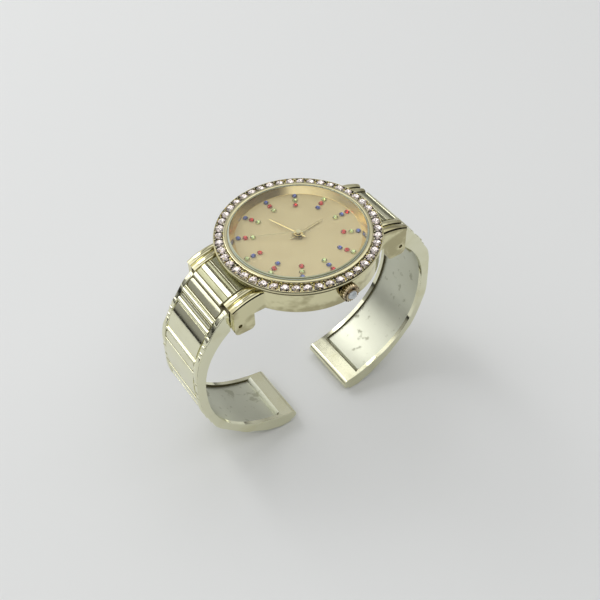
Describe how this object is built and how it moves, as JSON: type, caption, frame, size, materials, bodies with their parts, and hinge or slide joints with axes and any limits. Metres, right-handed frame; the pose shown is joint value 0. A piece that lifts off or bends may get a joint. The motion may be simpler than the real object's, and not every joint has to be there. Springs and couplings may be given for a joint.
{
  "type": "bracelet watch",
  "caption": "Round quartz watch on a hinged metal cuff: stone-set bezel, plain dial with coloured stones, fluted crown and two sprung arms shaped like links.",
  "frame": {"origin": "centre of the flat case back", "axes": "+Z out through the dial, +Y towards twelve o'clock, +X towards the crown"},
  "size_m": [0.0423, 0.0704, 0.0586],
  "materials": {
    "case_gold": "polished champagne-gold plating",
    "bezel_gold": "polished champagne-gold plating",
    "bracelet_gold": "polished champagne-gold plating",
    "clear_stone": "faceted clear crystal with a foil back",
    "red_stone": "faceted red crystal",
    "green_stone": "faceted pale green crystal",
    "blue_stone": "faceted blue crystal",
    "crystal_glass": "clear mineral glass",
    "gasket": "soft black rubber",
    "clear_gasket": "pale nylon",
    "flange_gold": "polished gold",
    "dial_paint": "satin champagne lacquer",
    "hand_gold": "polished gold",
    "back_steel": "circular brushed steel",
    "steel": "fine ground steel",
    "plate_metal": "satin gilt brass",
    "wheel_brass": "turned brass",
    "nylon": "moulded nylon",
    "battery_steel": "pressed nickel-plated steel",
    "strap_metal": "spring steel",
    "copper_wire": "enamelled copper winding",
    "board": "green solder mask",
    "chip_black": "moulded black resin",
    "magnet": "sintered magnet",
    "crown_gold": "polished champagne-gold plating",
    "cabochon_stone": "polished pale blue stone"
  },
  "bodies": {
    "case": {"case_middle": "case_gold", "bezel": "bezel_gold", "bezel_gems": "clear_stone", "crystal": "crystal_glass", "crystal_gasket": "clear_gasket", "flange_ring": "flange_gold", "dial": "dial_paint", "dial_stones_red": "red_stone", "dial_stones_green": "green_stone", "dial_stones_blue": "blue_stone", "case_back": "back_steel", "back_gasket": "gasket", "movement_ring": "nylon", "main_plate": "plate_metal", "train_bridge": "steel", "bridge_screws": "steel", "battery": "battery_steel", "battery_strap": "strap_metal", "coil": "copper_wire", "coil_core": "steel", "stator": "steel", "circuit_board": "board", "quartz_can": "battery_steel", "chip": "chip_black", "crown_tube": "crown_gold", "hinge_pin_12": "steel", "hinge_pin_6": "steel", "hinge_spring_12": "steel", "hinge_spring_6": "steel"},
    "arm_12": {"arm_12": "bracelet_gold"},
    "arm_6": {"arm_6": "bracelet_gold"},
    "setting_slide": {"setting_lever": "steel"},
    "crown": {"crown": "crown_gold", "crown_cabochon": "cabochon_stone", "crown_gasket": "gasket", "stem": "steel"},
    "clutch_slide": {"clutch_yoke": "steel"},
    "clutch": {"clutch_pinion": "steel"},
    "seconds": {"seconds_wheel": "wheel_brass", "second_hand": "hand_gold"},
    "third": {"third_wheel": "wheel_brass"},
    "intermediate": {"intermediate_wheel": "wheel_brass"},
    "rotor": {"rotor": "magnet"},
    "minutes": {"centre_wheel": "wheel_brass", "minute_hand": "hand_gold"},
    "motion": {"minute_wheel": "wheel_brass"},
    "hours": {"hour_wheel": "wheel_brass", "hour_hand": "hand_gold"},
    "setting": {"setting_wheel": "wheel_brass"}
  },
  "joints": [
    {"name": "arm_12_hinge", "type": "hinge", "parent": "case", "child": "arm_12", "pos_m": [0, 0.0228, -0.0007], "axis": [1, 0, 0], "range_deg": [0, 25], "stiffness_Nm_per_rad": 0.25, "springref_deg": -22.92},
    {"name": "arm_6_hinge", "type": "hinge", "parent": "case", "child": "arm_6", "pos_m": [0, -0.0228, -0.0007], "axis": [-1, 0, 0], "range_deg": [0, 25], "stiffness_Nm_per_rad": 0.25, "springref_deg": -22.92},
    {"name": "crown_pull", "type": "slide", "parent": "case", "child": "setting_slide", "axis": [1, 0, 0], "range_m": [0, 0.001]},
    {"name": "crown_turn", "type": "hinge", "parent": "setting_slide", "child": "crown", "pos_m": [0.02, 0, 0.0053], "axis": [1, 0, 0], "continuous": true},
    {"name": "clutch_shift", "type": "slide", "parent": "case", "child": "clutch_slide", "axis": [1, 0, 0], "range_m": [-0.0008, 0]},
    {"name": "clutch_turn", "type": "hinge", "parent": "clutch_slide", "child": "clutch", "pos_m": [0.0065, 0, 0.0053], "axis": [1, 0, 0], "continuous": true},
    {"name": "seconds_turn", "type": "hinge", "parent": "case", "child": "seconds", "pos_m": [0, 0, 0.005], "axis": [0, 0, -1], "continuous": true},
    {"name": "third_turn", "type": "hinge", "parent": "case", "child": "third", "pos_m": [-0.00319, -0.00116, 0.004], "axis": [0, 0, -1], "continuous": true},
    {"name": "intermediate_turn", "type": "hinge", "parent": "case", "child": "intermediate", "pos_m": [0.00282, 0.00103, 0.004], "axis": [0, 0, -1], "continuous": true},
    {"name": "rotor_turn", "type": "hinge", "parent": "case", "child": "rotor", "pos_m": [0.00422, 0.00345, 0.004], "axis": [0, 0, -1], "continuous": true},
    {"name": "minutes_turn", "type": "hinge", "parent": "case", "child": "minutes", "pos_m": [0, 0, 0.005], "axis": [0, 0, -1], "continuous": true},
    {"name": "motion_turn", "type": "hinge", "parent": "case", "child": "motion", "pos_m": [0.0012, 0.00208, 0.0058], "axis": [0, 0, -1], "continuous": true},
    {"name": "hours_turn", "type": "hinge", "parent": "case", "child": "hours", "pos_m": [0, 0, 0.006], "axis": [0, 0, -1], "continuous": true},
    {"name": "setting_turn", "type": "hinge", "parent": "case", "child": "setting", "pos_m": [0.00415, 0.00156, 0.0057], "axis": [0, 0, -1], "continuous": true}
  ],
  "couplings": [
    {"joint": "third_turn", "follows": "seconds_turn", "ratio": -0.13333},
    {"joint": "intermediate_turn", "follows": "seconds_turn", "ratio": -5},
    {"joint": "rotor_turn", "follows": "seconds_turn", "ratio": 30},
    {"joint": "minutes_turn", "follows": "seconds_turn", "ratio": 0.016667},
    {"joint": "motion_turn", "follows": "seconds_turn", "ratio": -0.0055556},
    {"joint": "hours_turn", "follows": "seconds_turn", "ratio": 0.0013889},
    {"joint": "setting_turn", "follows": "seconds_turn", "ratio": 0.0083333},
    {"joint": "clutch_shift", "follows": "crown_pull", "ratio": -0.8},
    {"joint": "clutch_turn", "follows": "crown_turn", "ratio": 1}
  ]
}
